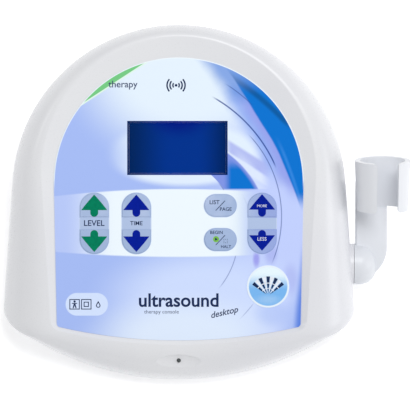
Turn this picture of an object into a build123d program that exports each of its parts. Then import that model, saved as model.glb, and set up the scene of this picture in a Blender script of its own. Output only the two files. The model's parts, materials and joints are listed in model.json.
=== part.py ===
from build123d import *
from math import acos, atan2, cos, degrees, hypot, radians, sin, sqrt
import os

# Ultrasound therapy console, millimetres, +Z up, the user in front at -Y.
# The slanted control panel has its own axes: u to the right, v up the slope and w out of it.

# Housing outline where it is widest, in u and v
arch_radius = 126.5
widest_u = 132.5
widest_v = -81.7
front_v = -142.0
front_radius = 213.9
corner_radius = 14.0

# Rounded shoulder between that outline and the crest round the panel
rear_band = 9.4
side_band = 22.6
corner_band = 35.5
front_band = 26.0
crest_side_v = -100.0
crest_front_radius = 400.0
crest_corner_radius = 10.0
shoulder_drop = 30.0
shoulder_steps = 6

# Sunk ring from the crest in to the front label
ring_depth = 2.0
ring_top = 16.1
ring_side = 9.8
ring_corner = 5.1
ring_front = 3.8
ring_lip = 0.6
label_front_radius = 405.0
label_corner_radius = 3.0
label_thickness = 0.4
label_gap = 0.15

# Body levels and walls
panel_slope = 17.0
panel_height = 79.0
rear_lean = 12.3
wall = 3.0
foot_height = 4.0
floor_thickness = 3.0
parting_height = 10.0
shell_gap = 0.1

# Keys
key_gap = 0.25
key_proud = 0.5
key_round = 0.45
key_travel = 0.5
key_flange = 1.2
key_flange_thickness = 1.0
key_flange_gap = 0.3
key_stem_radius = 2.0
key_stem_length = 0.4
tall_pill_width = 21.1
tall_pill_height = 45.2
tall_pill_v = -24.0
legend_strip = 9.8
small_pill_width = 23.6
small_pill_height = 16.2
small_pill_u = 31.3
tall_pills = {"select": -63.6, "set": -31.9, "step": 62.7}
small_pills = {"prog_menu": -10.6, "start_stop": -36.2}

# Key switches under the keys
switch_side = 6.0
switch_body = 3.5
switch_plunger_radius = 1.7
switch_plunger = 0.8
switch_gap = key_travel + 0.1

# Display
window_width = 75.6
window_height = 40.7
window_u = -1.0
window_v = 32.8
window_border = 1.4
window_thickness = 2.0
window_gap = 0.2
display_board_width = 101.0
display_board_height = 62.0
display_bezel_border = 3.5
display_bezel_height = 5.8
display_glass_depth = 1.2
display_glass_gap = 0.2

# Boards, their posts and screws
board_thickness = 1.6
control_board_width = 176.0
control_board_height = 57.0
control_board_v = -32.0
main_board_width = 150.0
main_board_depth = 96.0
main_board_x = 30.0
main_board_y = -14.0
board_post_radius = 3.5
board_post_height = 6.0
board_edge = 5.0
screw_radius = 1.2
screw_hole = screw_radius + 0.05
screw_head_radius = 2.8
screw_head_height = 1.8

# Power light in the front lip
light_v = -127.3
light_radius = 1.5
light_clearance = 0.1
light_sunk = 0.6
light_length = 13.0
light_board_width = 16.0
light_board_height = 10.0
dimple_v = -129.8
dimple_width = 33.0
dimple_height = 13.0
dimple_depth = 1.3

# Flat rear face with its plate, under an overhang
bay_width = 112.0
bay_bottom = 14.0
bay_top = 64.0
bay_y = arch_radius - 5.0
bay_frame = 7.0

# Feet, case screws and rating plate
foot_radius = 9.0
foot_places = [(widest_u - 40.5, front_v + 64.0), (arch_radius - 69.5, bay_y - 29.5)]
case_post_radius = 4.5
case_screw_length = 26.0
case_screw_front = (widest_u - 22.5, front_v + 80.0)
case_screw_rear = (arch_radius - 36.5, bay_y - 37.5)
case_screw_places = [(side * x, y) for x, y in (case_screw_front, case_screw_rear) for side in (-1, 1)]
rating_width = 60.0
rating_depth = 34.0
rating_thickness = 0.3
rating_y = 20.0

# Rear plate and its connectors
rear_plate_thickness = 2.0
rear_plate_edge = 1.5
rear_plate_gap = 0.2
plate_screw_inset = 4.5
plate_screw_length = 8.0
connector_z = 38.0
inlet_x = -27.0
inlet_width = 28.0
inlet_height = 30.0
inlet_flange_width = 50.0
inlet_flange_height = 34.0
inlet_flange_thickness = 2.5
inlet_depth = 22.0
inlet_cavity_width = 24.0
inlet_cavity_height = 16.4
inlet_cavity_depth = 17.0
inlet_screw_pitch = 40.0
fuse_width = 24.0
fuse_height = 6.0
fuse_dz = 9.0
inlet_dz = -4.5
fuse_depth = 18.0
fuse_gap = 0.2
fuse_radius = 1.9
fuse_length = 17.0
switch_x = 11.0
rocker_width = 13.0
rocker_height = 19.0
rocker_swing = 10.0
rocker_gap = 0.35
socket_x = 36.0
socket_radius = 9.0
socket_bore = 6.0
socket_bore_depth = 9.0
socket_flange = 3.0
socket_flange_thickness = 1.8
socket_contact_ring = 3.4
socket_contact = 0.8
socket_contacts = 5
socket_contact_depth = 5.0
socket_depth = 20.0
socket_proud = 3.0
socket_nut_radius = 12.0
socket_nut_thickness = 2.5

# Applicator holder at the right
clip_mid_v = 5.0
clip_mid_w = -12.0
clip_length = 37.9
clip_bore = 17.0
clip_top_radius = clip_bore + 4.1
clip_bottom_radius = clip_bore + 2.4
clip_u = widest_u + clip_top_radius + 0.2
clip_lean = 10.0
clip_slot = 16.5
clip_slot_turn = 11.0
clip_corner = 2.5
arm_width = 24.0
arm_thickness = 13.0
arm_top_v = 8.0
arm_bend_radius = 13.0
arm_chamfer = 3.6
pivot_v = -55.0
pivot_z = panel_height - 52.0
pivot_seat_radius = 15.5
pivot_seat_x = widest_u + 0.2
pivot_gap = 0.3
pivot_head_radius = 15.5
pivot_head_length = 17.0
pivot_head_round = 13.0
pivot_boss_depth = 7.0
spigot_radius = 7.0
spigot_clearance = 0.08
washer_radius = 11.0
washer_thickness = 1.2
washer_room_depth = 6.0

# Power parts on the base
transformer_x = 50.5 - min(arch_radius, widest_u - 6.0)
transformer_y = bay_y - 77.5
transformer_width = 48.0
transformer_depth = 54.0
transformer_height = 42.0
core_leg = 16.0
core_side = 9.0
core_foot = 1.6
core_ear = 4.0
winding_bulge = 9.0
winding_gap = 0.4
heatsink_width = 64.0
heatsink_depth = 22.0
heatsink_height = 26.0
heatsink_fins = 8
heatsink_base = 4.0
heatsink_place = (main_board_x + 36, main_board_y + 14)
fin_thickness = 2.0
capacitor_radius = 8.0
capacitor_height = 25.0
capacitor_pitch = 19.0
# Chips, relay and crystal on the main board: place from its middle, then width, depth and height
chips = [(-40, -22, 30, 10, 4), (0, -26, 14, 14, 2), (8, 2, 18, 8, 3),
         (-34, 2, 22, 16, 14), (62, 2, 10, 7, 3)]
buzzer_radius = 7.0
buzzer_height = 6.0
vent_count = 8
vent_length = 34.0
vent_width = 3.0
vent_pitch = 7.0
vent_y = transformer_y - 62.0

shoulder = dict(arch_radius=arch_radius, arch_v=0.0, side_u=widest_u, side_v=widest_v, front_v=front_v,
                front_radius=front_radius, corner_radius=corner_radius)
crest_radius = arch_radius - side_band
crest_top = arch_radius - rear_band
crest = dict(arch_radius=crest_radius, arch_v=crest_top - crest_radius, side_u=widest_u - corner_band,
             side_v=crest_side_v, front_v=front_v + front_band, front_radius=crest_front_radius,
             corner_radius=crest_corner_radius)
label_radius = crest_radius - ring_side
label_shape = dict(arch_radius=label_radius, arch_v=crest_top - ring_top - label_radius,
                   side_u=widest_u - corner_band - ring_corner, side_v=crest_side_v,
                   front_v=front_v + front_band + ring_front, front_radius=label_front_radius,
                   corner_radius=label_corner_radius)

panel = Plane(origin=(0, 0, panel_height), x_dir=(1, 0, 0),
              z_dir=(0, -sin(radians(panel_slope)), cos(radians(panel_slope))))
shoulder_w = ring_depth - shoulder_drop
floor_top = foot_height + floor_thickness
key_underside = -wall - key_flange_gap - key_flange_thickness
board_top_w = key_underside - key_stem_length - switch_gap - switch_plunger - switch_body
board_under_w = board_top_w - board_thickness
big = 600.0


def outline(arch_radius, arch_v, side_u, side_v, front_v, front_radius, corner_radius, inset=0.0):
    # An arch over two straight sides that leave it on a tangent, closed by a bowed front edge.
    arch = Vector(0, arch_v)
    reach = hypot(side_u, side_v - arch_v)
    turn = atan2(side_v - arch_v, side_u) + acos(arch_radius / reach)
    out = Vector(cos(turn), sin(turn))
    down = Vector(sin(turn), -cos(turn))
    radius = arch_radius - inset
    front = Vector(0, front_v + front_radius)
    gap = radius - (front - arch).dot(out)
    corner = front + out * gap + down * sqrt((front_radius - inset) ** 2 - gap ** 2)
    shoulder_end = arch + out * radius
    left_end = Vector(-shoulder_end.X, shoulder_end.Y)
    left_corner = Vector(-corner.X, corner.Y)
    edges = [
        CenterArc((0, arch_v), radius, degrees(turn), 180 - 2 * degrees(turn)),
        Line(left_end, left_corner),
        ThreePointArc(left_corner, (0, front_v + inset), corner),
        Line(corner, shoulder_end),
    ]
    face = make_face(edges)
    corners = [v for v in face.vertices() if abs(v.Y - corner.Y) < 0.01]
    return fillet(corners, max(corner_radius - inset, 1.0))


def hull(inset, top_w):
    # Crest to shoulder follows a quarter ellipse; below it the skirt runs straight down and a little back.
    sections = []
    for step in range(shoulder_steps + 1):
        turn = radians(90 * step / shoulder_steps)
        w = top_w - (top_w - shoulder_w) * (1 - cos(turn))
        shape = {key: crest[key] + (shoulder[key] - crest[key]) * sin(turn) for key in crest}
        sections.append(panel.offset(w) * outline(**shape, inset=inset))
    crown = loft(sections)
    direction = (0, sin(radians(rear_lean)), -cos(radians(rear_lean)))
    skirt = extrude(sections[-1], amount=panel_height * 2, dir=direction)
    return crown + skirt


def above(z):
    return Pos(0, 0, z + big / 2) * Box(big, big, big)


def below(z):
    return Pos(0, 0, z - big / 2) * Box(big, big, big)


def on_panel(u, v, w):
    # A place on the panel, turned so that Z is its outward normal.
    return panel.location * Pos(u, v, w)


def rod(radius, start, end, x=0.0, y=0.0):
    return Pos(x, y, (start + end) / 2) * Cylinder(radius, end - start)


def slab(width, height, low, high, x=0.0, y=0.0):
    return Pos(x, y, (low + high) / 2) * Box(width, height, high - low)


def pill(width, height, grow=0.0):
    if height > width:
        return SlotOverall(height + 2 * grow, width + 2 * grow, rotation=90)
    return SlotOverall(width + 2 * grow, height + 2 * grow)


def key_places():
    # Each key's name, its centre, its full pill and which half of the pill it takes.
    places = []
    for name, u in tall_pills.items():
        for half, sign in (("up", 1), ("down", -1)):
            places.append((f"key_{name}_{half}", u, tall_pill_v, tall_pill_width, tall_pill_height, sign))
    for name, v in small_pills.items():
        places.append((f"key_{name}", small_pill_u, v, small_pill_width, small_pill_height, 0))
    return places


def key_profile(width, height, sign, grow):
    face = pill(width, height, grow)
    if sign == 0:
        return face
    edge = legend_strip / 2 - grow
    half = Rectangle(width * 2, height, align=(Align.CENTER, Align.MIN if sign > 0 else Align.MAX))
    return face & (Pos(0, sign * edge) * half)


def stem_offset(height, sign):
    # The switch sits under the middle of the key's own area.
    return sign * (height / 2 + legend_strip / 2) / 2


def make_key(u, v, width, height, sign):
    top = label_thickness + key_proud
    pad = extrude(key_profile(width, height, sign, 0), amount=top + wall + key_flange_gap, dir=(0, 0, -1))
    pad = Pos(0, 0, top) * pad
    rim = pad.faces().sort_by(Axis.Z)[-1].edges()
    pad = fillet(rim, key_round)
    flange = extrude(key_profile(width, height, sign, key_flange), amount=key_flange_thickness)
    stem = rod(key_stem_radius, key_underside - key_stem_length, key_underside + 0.2, 0,
               stem_offset(height, sign))
    return on_panel(u, v, 0) * (pad + Pos(0, 0, key_underside) * flange + stem)


def key_openings(low, high):
    cuts = []
    for _, u, v, width, height, sign in key_places():
        face = key_profile(width, height, sign, key_gap)
        cuts.append(on_panel(u, v, low) * extrude(face, amount=high - low))
    return cuts


def on_window(grow, low, high):
    # A slab over the display window, larger than it by grow on every side.
    return on_panel(window_u, window_v, 0) * slab(window_width + 2 * grow, window_height + 2 * grow,
                                                  low, high)


def light_hole():
    return on_panel(0, light_v, 0) * rod(light_radius + light_clearance, -shoulder_drop / 2, shoulder_drop)


def lip_surface_w(v):
    # Height of the lip along the centre line, from the quarter ellipse of the front shoulder.
    spread = (crest["front_v"] - v) / front_band
    return ring_depth - shoulder_drop * (1 - sqrt(1 - spread ** 2))


def lip_dimple():
    depth = dimple_depth * 2
    ball = scale(Sphere(1), by=(dimple_width / 2 * 1.15, dimple_height / 2 * 1.15, depth))
    return on_panel(0, dimple_v, lip_surface_w(dimple_v) + depth * 0.5) * Rot(22, 0, 0) * ball


def ring_pocket():
    inner = panel * outline(**label_shape)
    outer = panel.offset(ring_depth) * outline(**crest, inset=ring_lip)
    pocket = loft([inner, outer], ruled=True)
    clear = panel.offset(ring_depth) * extrude(outline(**crest, inset=ring_lip), amount=5)
    return pocket + clear


def board_holes(width, height, low, high, radius):
    # Four holes near a board's corners, in the board's own place.
    return [rod(radius, low, high, x, y) for x, y in corner_places(width, height)]


def corner_places(width, height):
    across = width / 2 - board_edge
    along = height / 2 - board_edge
    return [(x, y) for x in (-across, across) for y in (-along, along)]


panel_boards = [
    (0.0, control_board_v, control_board_width, control_board_height),
    (window_u, window_v, display_board_width, display_board_height),
]


def upper_shell(outer, inner):
    shell = (outer - inner - ring_pocket()) & above(parting_height)
    posts = []
    for u, v, width, height in panel_boards:
        for x, y in corner_places(width, height):
            posts.append(on_panel(u + x, v + y, 0) * rod(board_post_radius, board_top_w, -wall / 2))
    for x, y in case_screw_places:
        post = rod(case_post_radius, parting_height, panel_height * 2, x, y)
        posts.append(post & hull(wall / 2, -wall / 2))
    posts.append(pivot_boss())
    shell = shell + posts
    cuts = key_openings(-wall * 2 + 1.0, ring_depth)
    cuts.append(on_window(window_border + window_gap, -window_thickness, ring_depth))
    cuts.append(on_window(-window_border, -wall * 2, 0))
    cuts.append(lip_dimple())
    cuts.append(light_hole())
    for u, v, width, height in panel_boards:
        holes = board_holes(width, height, board_top_w - 1, -wall + 0.5, screw_hole)
        cuts += [on_panel(u, v, 0) * hole for hole in holes]
    for x, y in case_screw_places:
        top = foot_height + case_screw_length + 2
        cuts.append(rod(screw_hole, parting_height - 1, top, x, y))
    cuts.append(pivot_bore(spigot_radius + spigot_clearance))
    cuts.append(washer_room())
    return shell - cuts - rear_openings()


def bay_room(top_wall, back_wall):
    # Everything behind the flat rear face, up to the overhang that shelters the connectors.
    room = Box(big, big, big, align=(Align.CENTER, Align.MIN, Align.MAX))
    return Pos(0, bay_y - back_wall, bay_top + top_wall) * room


def rear_openings():
    middle = (bay_bottom + bay_top) / 2
    tall = bay_top - bay_bottom
    edge = rear_plate_edge - rear_plate_gap
    place = Pos(0, bay_y - rear_plate_thickness / 2, middle)
    plate = place * Box(bay_width - 2 * edge, rear_plate_thickness, tall - 2 * edge)
    opening = place * Box(bay_width - 2 * bay_frame, 4 * wall, tall - 2 * bay_frame)
    holes = [back_rod(x, screw_hole, -plate_screw_length - 1, 1, z - connector_z)
             for x, z in plate_screw_places()]
    return [plate, opening] + holes


def plate_screw_places():
    across = bay_width / 2 - plate_screw_inset
    tall = (bay_top - bay_bottom) / 2 - plate_screw_inset
    middle = (bay_bottom + bay_top) / 2
    return [(x, middle + z) for x in (-across, across) for z in (-tall, tall)]


def lower_shell(outer, inner):
    tray = outer & below(parting_height - shell_gap) & above(foot_height)
    tray = tray - (inner & above(floor_top))
    post_top = parting_height - shell_gap
    posts = [rod(case_post_radius, floor_top - 1, post_top, x, y) for x, y in case_screw_places]
    for x, y in corner_places(main_board_width, main_board_depth):
        posts.append(rod(board_post_radius, floor_top - 1, floor_top + board_post_height,
                         main_board_x + x, main_board_y + y))
    tray = tray + posts
    cuts = []
    for x, y in case_screw_places:
        cuts.append(rod(screw_hole, 0, parting_height + 1, x, y))
        cuts.append(rod(screw_head_radius + 0.4, 0, foot_height + screw_head_height + 0.7, x, y))
    for x, y in corner_places(main_board_width, main_board_depth):
        cuts.append(rod(screw_hole, floor_top, floor_top + board_post_height + 1,
                        main_board_x + x, main_board_y + y))
    for step in range(vent_count):
        y = vent_y + (step - (vent_count - 1) / 2) * vent_pitch
        slot = extrude(SlotOverall(vent_length, vent_width), amount=floor_top + 1)
        cuts.append(Pos(transformer_x, y, 0) * slot)
    return tray - cuts


def front_label():
    face = outline(**label_shape, inset=label_gap)
    sheet = panel * extrude(face, amount=label_thickness)
    return sheet - key_openings(-1, 2) - on_window(0, -1, 2)


def display_window():
    return on_window(window_border, -window_thickness, 0)


def display_bezel():
    high = board_top_w + display_bezel_height
    frame = on_window(display_bezel_border, board_top_w, high)
    return frame - on_window(0, high - display_glass_depth, high + 1)


def display_glass():
    high = board_top_w + display_bezel_height
    return on_window(-display_glass_gap, high - display_glass_depth, high - display_glass_gap)


def panel_board(index):
    u, v, width, height = panel_boards[index]
    board = slab(width, height, board_under_w, board_top_w)
    holes = board_holes(width, height, board_under_w - 1, board_top_w + 1, screw_hole)
    return on_panel(u, v, 0) * (board - holes)


def key_switches():
    pieces = []
    for _, u, v, _, height, sign in key_places():
        body = slab(switch_side, switch_side, board_top_w, board_top_w + switch_body)
        top = board_top_w + switch_body
        plunger = rod(switch_plunger_radius, top - 0.2, top + switch_plunger)
        pieces.append(on_panel(u, v + stem_offset(height, sign), 0) * (body + plunger))
    return pieces


def panel_screws():
    pieces = []
    for u, v, width, height in panel_boards:
        for x, y in corner_places(width, height):
            shank = rod(screw_radius, board_under_w - 0.2, -wall - 0.5)
            head = rod(screw_head_radius, board_under_w - screw_head_height, board_under_w)
            pieces.append(on_panel(u + x, v + y, 0) * (shank + head))
    return pieces


def power_light():
    top = lip_surface_w(light_v) - light_sunk
    low = top - light_length
    flange = rod(light_radius + 0.5, low, low + 1)
    body = rod(light_radius, low, top - light_radius)
    dome = Pos(0, 0, top - light_radius) * Sphere(light_radius)
    return on_panel(0, light_v, 0) * (flange + body + dome)


def light_board():
    low = lip_surface_w(light_v) - light_sunk - light_length
    board = slab(light_board_width, light_board_height, low - board_thickness, low)
    return on_panel(0, light_v, 0) * board


def rubber_feet():
    pieces = []
    for x, y in foot_places:
        for side in (-1, 1):
            foot = rod(foot_radius, 0, foot_height, side * x, y)
            pieces.append(chamfer(foot.edges().sort_by(Axis.Z)[0], 1.0))
    return pieces


def case_screws():
    pieces = []
    for x, y in case_screw_places:
        low = foot_height + 0.6
        head = rod(screw_head_radius, low, low + screw_head_height, x, y)
        shank = rod(screw_radius, low + 1, foot_height + case_screw_length, x, y)
        slot = slab(0.8, 3.6, low - 1, low + 0.9, x, y) + slab(3.6, 0.8, low - 1, low + 0.9, x, y)
        pieces.append(head + shank - slot)
    return pieces


def rating_plate():
    plate = slab(rating_width, rating_depth, foot_height - rating_thickness, foot_height, 0, rating_y)
    return fillet(plate.edges().filter_by(Axis.Z), 2)


def main_board_top():
    return floor_top + board_post_height + board_thickness


def main_board():
    low = floor_top + board_post_height
    board = slab(main_board_width, main_board_depth, low, main_board_top())
    holes = board_holes(main_board_width, main_board_depth, low - 1, low + 5, screw_hole)
    return Pos(main_board_x, main_board_y, 0) * (board - holes)


def main_board_screws():
    pieces = []
    top = main_board_top()
    for x, y in corner_places(main_board_width, main_board_depth):
        shank = rod(screw_radius, floor_top + 0.5, top + 0.5)
        head = rod(screw_head_radius, top, top + screw_head_height)
        pieces.append(Pos(main_board_x + x, main_board_y + y, 0) * (shank + head))
    return pieces


def heatsink():
    low = main_board_top()
    base = slab(heatsink_width, heatsink_base, low, low + heatsink_height)
    fins = []
    pitch = (heatsink_width - fin_thickness) / (heatsink_fins - 1)
    for step in range(heatsink_fins):
        x = (step - (heatsink_fins - 1) / 2) * pitch
        length = heatsink_depth - heatsink_base
        fins.append(slab(fin_thickness, length + 0.5, low, low + heatsink_height, x, heatsink_depth / 2))
    return Pos(*heatsink_place, 0) * (base + fins)


def power_transistors():
    pieces = []
    low = main_board_top() + 4
    for x in (-16, 16):
        y = -heatsink_base / 2 - 2.3
        body = slab(10, 4.6, low, low + 9, x, y)
        tab = slab(10, 1.4, low + 8.5, low + 15, x, -heatsink_base / 2 - 0.7)
        legs = [slab(0.8, 0.6, main_board_top(), low + 0.2, x + dx, y) for dx in (-2.5, 0, 2.5)]
        pieces.append(Pos(*heatsink_place, 0) * (body + tab + legs))
    return pieces


def output_coil():
    low = main_board_top()
    return Pos(main_board_x + 52, main_board_y - 24, low + 5.5) * Torus(11, 5)


def capacitors():
    pieces = []
    low = main_board_top()
    for step in range(3):
        x = main_board_x - 56 + step * capacitor_pitch
        can = rod(capacitor_radius, low, low + capacitor_height, x, main_board_y + 30)
        pieces.append(fillet(can.edges().sort_by(Axis.Z)[-1], 1.0))
    return pieces


def board_chips():
    low = main_board_top()
    return [slab(width, depth, low, low + tall, main_board_x + x, main_board_y + y)
            for x, y, width, depth, tall in chips]


def buzzer():
    low = main_board_top()
    can = rod(buzzer_radius, low, low + buzzer_height)
    return Pos(main_board_x + 22, main_board_y - 34, 0) * (can - rod(1.5, low + 3, low + 20))


def transformer_place():
    return Pos(transformer_x, transformer_y, floor_top + core_foot + transformer_height / 2)


def winding_window():
    return transformer_depth / 2 - core_leg / 2 - core_side


def transformer_core():
    # Stacked E and I sheets with two windows, on a steel foot plate.
    core = Box(transformer_width, transformer_depth, transformer_height)
    window = winding_window()
    for side in (-1, 1):
        middle = side * (core_leg + window) / 2
        core = core - Pos(0, middle, 0) * Box(big / 4, window, transformer_height - 2 * core_side)
    foot = Box(transformer_width + 4 * core_ear, transformer_depth - 14, core_foot)
    foot = Pos(0, 0, -(transformer_height + core_foot) / 2) * foot
    for side in (-1, 1):
        foot = foot - Pos(side * (transformer_width / 2 + core_ear), 0, 0) * Cylinder(2.0, big / 4)
    return transformer_place() * (core + foot)


def transformer_winding():
    depth = core_leg + 2 * winding_window() - 2 * winding_gap
    tall = transformer_height - 2 * core_side - 2 * winding_gap
    coil = Box(transformer_width + 2 * winding_bulge, depth, tall)
    coil = fillet(coil.edges().filter_by(Axis.Z), 5)
    limb = Box(transformer_width + 2 * winding_gap, core_leg + 2 * winding_gap, big / 4)
    return transformer_place() * (coil - limb)


def rear_plate():
    tall = bay_top - bay_bottom - 2 * rear_plate_edge
    middle = (bay_bottom + bay_top) / 2
    place = Pos(0, bay_y - rear_plate_thickness / 2, middle)
    plate = place * Box(bay_width - 2 * rear_plate_edge, rear_plate_thickness, tall)
    plate = fillet(plate.edges().filter_by(Axis.Y), 2)
    plate = plate - back_box(inlet_x, inlet_width + 0.6, inlet_height + 0.6, -10, 10)
    plate = plate - back_box(switch_x, rocker_width + 6.4, rocker_height + 6.4, -10, 10)
    plate = plate - back_rod(socket_x, socket_radius + 0.1, -10, 10)
    for dx in (-1, 1):
        plate = plate - back_rod(inlet_x + dx * inlet_screw_pitch / 2, screw_hole, -10, 10)
    for x, z in plate_screw_places():
        plate = plate - back_rod(x, screw_hole, -10, 10, z - connector_z)
    return plate


def back_box(x, width, height, low, high, dz=0.0):
    # A box on the rear plate; low and high are measured outwards from the plate's face.
    return Pos(x, bay_y + (low + high) / 2, connector_z + dz) * Box(width, high - low, height)


def back_rod(x, radius, low, high, dz=0.0):
    return Pos(x, bay_y + (low + high) / 2, connector_z + dz) * Rot(90, 0, 0) * Cylinder(radius, high - low)


def mains_inlet():
    flange = back_box(inlet_x, inlet_flange_width, inlet_flange_height, 0, inlet_flange_thickness)
    flange = fillet(flange.edges().filter_by(Axis.Y), 3)
    body = back_box(inlet_x, inlet_width, inlet_height, -inlet_depth, 0.5)
    socket = flange + body
    bottom = inlet_flange_thickness - inlet_cavity_depth
    cavity = back_box(inlet_x, inlet_cavity_width, inlet_cavity_height, bottom,
                      inlet_flange_thickness + 5, inlet_dz)
    lower = cavity.edges().filter_by(Axis.Y).sort_by(Axis.Z)[:2]
    socket = socket - chamfer(lower, 4)
    drawer_room = back_box(inlet_x, fuse_width + 2 * fuse_gap, fuse_height + 2 * fuse_gap,
                           -fuse_depth - fuse_gap, 10, fuse_dz)
    socket = socket - drawer_room
    for dx, dz in ((-7, 0.8), (7, 0.8), (0, -3.2)):
        blade = back_box(inlet_x + dx, 2, 4, bottom - 1, 1, inlet_dz + dz)
        socket = socket + blade
    for dx in (-1, 1):
        place = inlet_x + dx * inlet_screw_pitch / 2
        socket = socket - back_rod(place, screw_hole, -10, 10)
    for dx in (-8, 0, 8):
        socket = socket + back_box(inlet_x + dx, 4.8, 0.8, -inlet_depth - 8, -inlet_depth + 1, inlet_dz)
    return socket


def fuse_drawer():
    tray = back_box(inlet_x, fuse_width, fuse_height, -fuse_depth, inlet_flange_thickness + 0.8, fuse_dz)
    bed = back_box(inlet_x, fuse_width - 4, fuse_height, -fuse_depth + 2, -1, fuse_dz + 1.5)
    notch = back_box(inlet_x, 8, 1.4, inlet_flange_thickness - 0.6, inlet_flange_thickness + 3, fuse_dz)
    return tray - bed - notch


def fuse():
    place = Pos(inlet_x, bay_y - fuse_depth / 2 - 0.5, connector_z + fuse_dz + 0.7)
    return place * Rot(0, 90, 0) * Cylinder(fuse_radius, fuse_length)


def power_switch():
    flange = back_box(switch_x, rocker_width + 10, rocker_height + 10, 0, 1.6)
    flange = fillet(flange.edges().filter_by(Axis.Y), 2)
    flange = chamfer(flange.faces().sort_by(Axis.Y)[-1].edges(), 0.6)
    body = back_box(switch_x, rocker_width + 6, rocker_height + 6, -20, 0.5)
    room = back_box(switch_x, rocker_width + 2 * rocker_gap, rocker_height + 2 * rocker_gap + 0.8, -8, 10)
    housing = flange + body - room
    for dz in (-7, 0, 7):
        housing = housing + back_box(switch_x, 4.8, 0.8, -28, -19, dz)
    return housing


rocker_axis_depth = -2.5


def power_rocker():
    # The rocker is made level and then tipped to its off position.
    half = rocker_height / 2
    with BuildSketch(Plane.YZ) as face:
        with BuildLine():
            Polyline((-4.5, -5), (2.0, -half), (4.6, -half), (3.2, 0), (4.6, half), (2.0, half),
                     (-4.5, 5), close=True)
        make_face()
    key = extrude(face.sketch, amount=rocker_width / 2, both=True)
    place = Pos(switch_x, bay_y + rocker_axis_depth, connector_z)
    return place * Rot(-rocker_swing, 0, 0) * key


def transducer_socket():
    body = back_rod(socket_x, socket_radius, socket_proud - socket_bore_depth, socket_proud)
    flange = back_rod(socket_x, socket_radius + socket_flange, 0, socket_flange_thickness)
    return body + flange - back_rod(socket_x, socket_bore, -socket_bore_depth, socket_proud + 1)


def socket_insert():
    # The insulator behind the socket's sleeve, with a ring of contact holes.
    top = socket_proud - socket_bore_depth
    insert = back_rod(socket_x, socket_radius, -socket_depth, top)
    for step in range(socket_contacts):
        turn = radians(90 + 360 * step / socket_contacts)
        x = socket_x + socket_contact_ring * cos(turn)
        z = socket_contact_ring * sin(turn)
        insert = insert - back_rod(x, socket_contact, top - socket_contact_depth, top + 1, z)
    return insert


def socket_nut():
    ring = RegularPolygon(socket_nut_radius, 6)
    nut = extrude(Plane.XZ * ring, amount=socket_nut_thickness)
    nut = Pos(socket_x, bay_y - rear_plate_thickness, connector_z) * nut
    return nut - back_rod(socket_x, socket_radius + 0.05, -12, 5)


def plate_screws():
    pieces = []
    for x, z in plate_screw_places():
        dz = z - connector_z
        head = back_rod(x, screw_head_radius, 0, screw_head_height, dz)
        pieces.append(head + back_rod(x, screw_radius, -plate_screw_length, 0.5, dz))
    for dx in (-1, 1):
        place = inlet_x + dx * inlet_screw_pitch / 2
        low = inlet_flange_thickness
        pieces.append(back_rod(place, screw_head_radius, low, low + screw_head_height)
                      + back_rod(place, screw_radius, -5, low + 0.5))
    return pieces


def pivot_place():
    # The pivot runs along X through the right wall.
    w = (pivot_z - panel_height - pivot_v * sin(radians(panel_slope))) / cos(radians(panel_slope))
    y = pivot_v * cos(radians(panel_slope)) - w * sin(radians(panel_slope))
    return y, w


def cross_rod(radius, start, end):
    y, _ = pivot_place()
    return Pos((start + end) / 2, y, pivot_z) * Rot(0, 90, 0) * Cylinder(radius, end - start)


def pivot_boss():
    return cross_rod(pivot_seat_radius, pivot_seat_x - pivot_boss_depth, pivot_seat_x)


def washer_room():
    # Open space inside the wall where the washer and its screw turn with the holder.
    end = pivot_seat_x - pivot_boss_depth
    return cross_rod(washer_radius + pivot_gap, end - washer_room_depth, end)


def pivot_bore(radius):
    return cross_rod(radius, pivot_seat_x - 20, pivot_seat_x + 5)


def holder_clip():
    tube = Cone(clip_bottom_radius, clip_top_radius, clip_length) - Cylinder(clip_bore, clip_length * 2)
    slot = Box(clip_slot, big / 4, clip_length * 2, align=(Align.CENTER, Align.MAX, Align.CENTER))
    tube = tube - slot
    ends = [edge for edge in tube.edges().filter_by(Axis.Y) if edge.length < 8]
    return fillet(ends, clip_corner)


def clip_location():
    # The clip's axis lies along the slope, and its top leans out of the panel.
    lean = Rot(-90 + clip_lean, 0, 0)
    return on_panel(clip_u, clip_mid_v, clip_mid_w) * lean * Rot(0, 0, clip_slot_turn)


def holder_arm():
    # A bar with bevelled front edges, swept down the slope and round the elbow into the wall.
    _, w = pivot_place()
    middle = pivot_seat_x + pivot_gap + arm_bend_radius
    path = Line((middle, arm_top_v), (middle, pivot_v + arm_bend_radius))
    elbow_start = (middle, pivot_v + arm_bend_radius)
    path += RadiusArc(elbow_start, (middle - arm_bend_radius, pivot_v), arm_bend_radius)
    plane = Plane(origin=(middle, arm_top_v, 0), x_dir=(1, 0, 0), z_dir=(0, -1, 0))
    bar = Rectangle(arm_width, arm_thickness)
    bar = chamfer(bar.vertices().group_by(Axis.Y)[0], arm_chamfer)
    bar = fillet(bar.vertices().group_by(Axis.Y)[-1], 1.5)
    return on_panel(0, 0, w) * sweep(plane * bar, path=path)


def applicator_holder():
    clip = clip_location() * holder_clip()
    bore = clip_location() * Cylinder(clip_bore, clip_length + 2)
    start = pivot_seat_x + pivot_gap
    knuckle = cross_rod(pivot_head_radius, start, start + pivot_head_length)
    knuckle = fillet(knuckle.edges().sort_by(Axis.X)[-1], pivot_head_round)
    end = pivot_seat_x - pivot_boss_depth - pivot_gap
    spigot = cross_rod(spigot_radius, end, start + 2)
    holder = holder_arm() - bore + clip + knuckle + spigot
    return holder - cross_rod(screw_hole, end - 1, start)


def pivot_washer():
    end = pivot_seat_x - pivot_boss_depth - pivot_gap
    return cross_rod(washer_radius, end - washer_thickness, end) - cross_rod(screw_radius + 0.1, 0, 200)


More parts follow.
